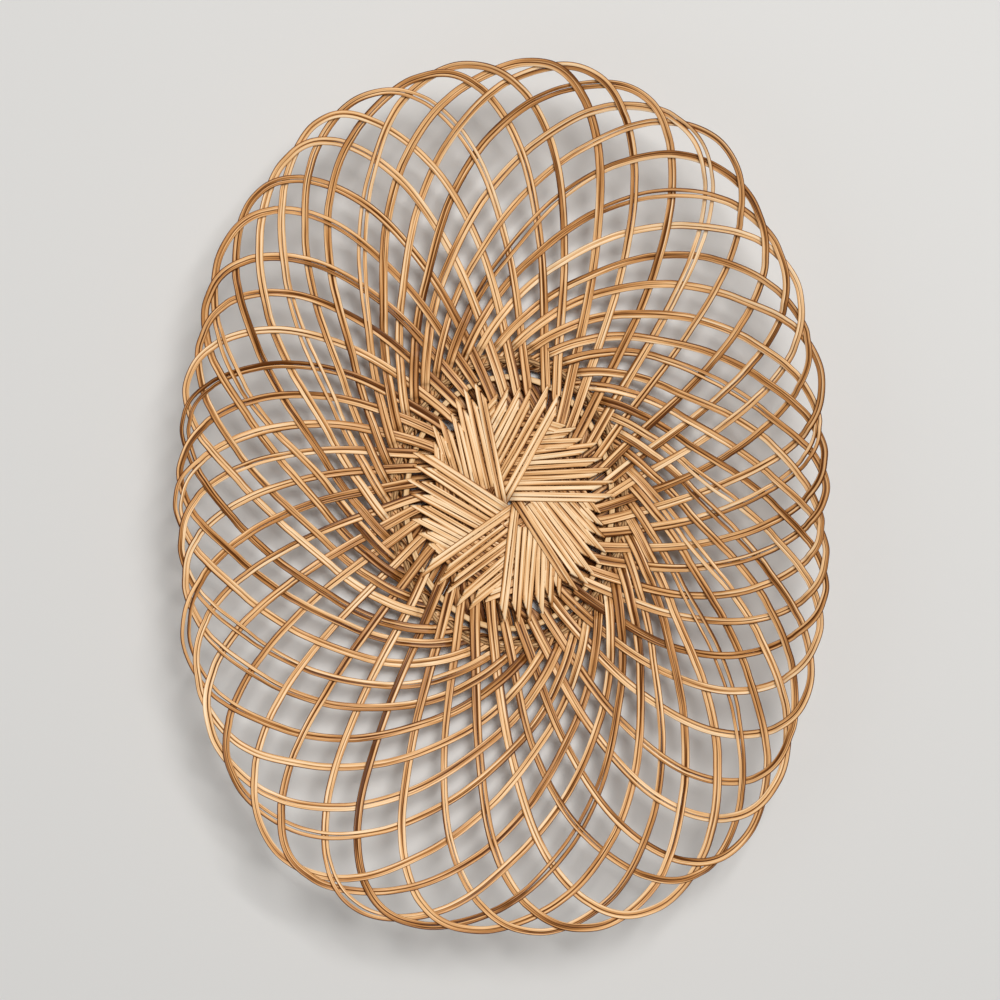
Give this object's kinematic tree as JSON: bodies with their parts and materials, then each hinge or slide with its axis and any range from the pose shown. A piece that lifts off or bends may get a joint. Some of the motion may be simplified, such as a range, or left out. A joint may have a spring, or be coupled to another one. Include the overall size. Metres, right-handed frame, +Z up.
{
  "type": "woven tray",
  "caption": "Shallow oval open-work tray of plaited bamboo loops with a pinwheel base on a roped foot ring, for bread, fruit or display.",
  "frame": {"origin": "middle of the tray's outer box, on the surface that it stands on", "axes": "+Z up out of the open side, +Y along the long axis of the oval, +X along the short axis"},
  "size_m": [0.3257, 0.4405, 0.0562],
  "materials": {
    "strips": "split bamboo, honey brown, satin with fine lengthwise grain",
    "hoop": "pale split bamboo, satin",
    "foot": "twisted split bamboo, darker brown, satin"
  },
  "bodies": {
    "root": {"loop_01": "strips", "loop_02": "strips", "loop_03": "strips", "loop_04": "strips", "loop_05": "strips", "loop_06": "strips", "loop_07": "strips", "loop_08": "strips", "loop_09": "strips", "loop_10": "strips", "loop_11": "strips", "loop_12": "strips", "loop_13": "strips", "loop_14": "strips", "loop_15": "strips", "loop_16": "strips", "loop_17": "strips", "loop_18": "strips", "loop_19": "strips", "loop_20": "strips", "loop_21": "strips", "loop_22": "strips", "loop_23": "strips", "loop_24": "strips", "loop_25": "strips", "loop_26": "strips", "loop_27": "strips", "loop_28": "strips", "loop_29": "strips", "loop_30": "strips", "loop_31": "strips", "loop_32": "strips", "loop_33": "strips", "loop_34": "strips", "loop_35": "strips", "loop_36": "strips", "loop_37": "strips", "loop_38": "strips", "loop_39": "strips", "loop_40": "strips", "loop_41": "strips", "loop_42": "strips", "loop_43": "strips", "loop_44": "strips", "loop_45": "strips", "loop_46": "strips", "loop_47": "strips", "loop_48": "strips", "loop_49": "strips", "binding_hoop": "hoop", "foot_strand_1": "foot", "foot_strand_2": "foot", "foot_strand_3": "foot"}
  },
  "joints": []
}
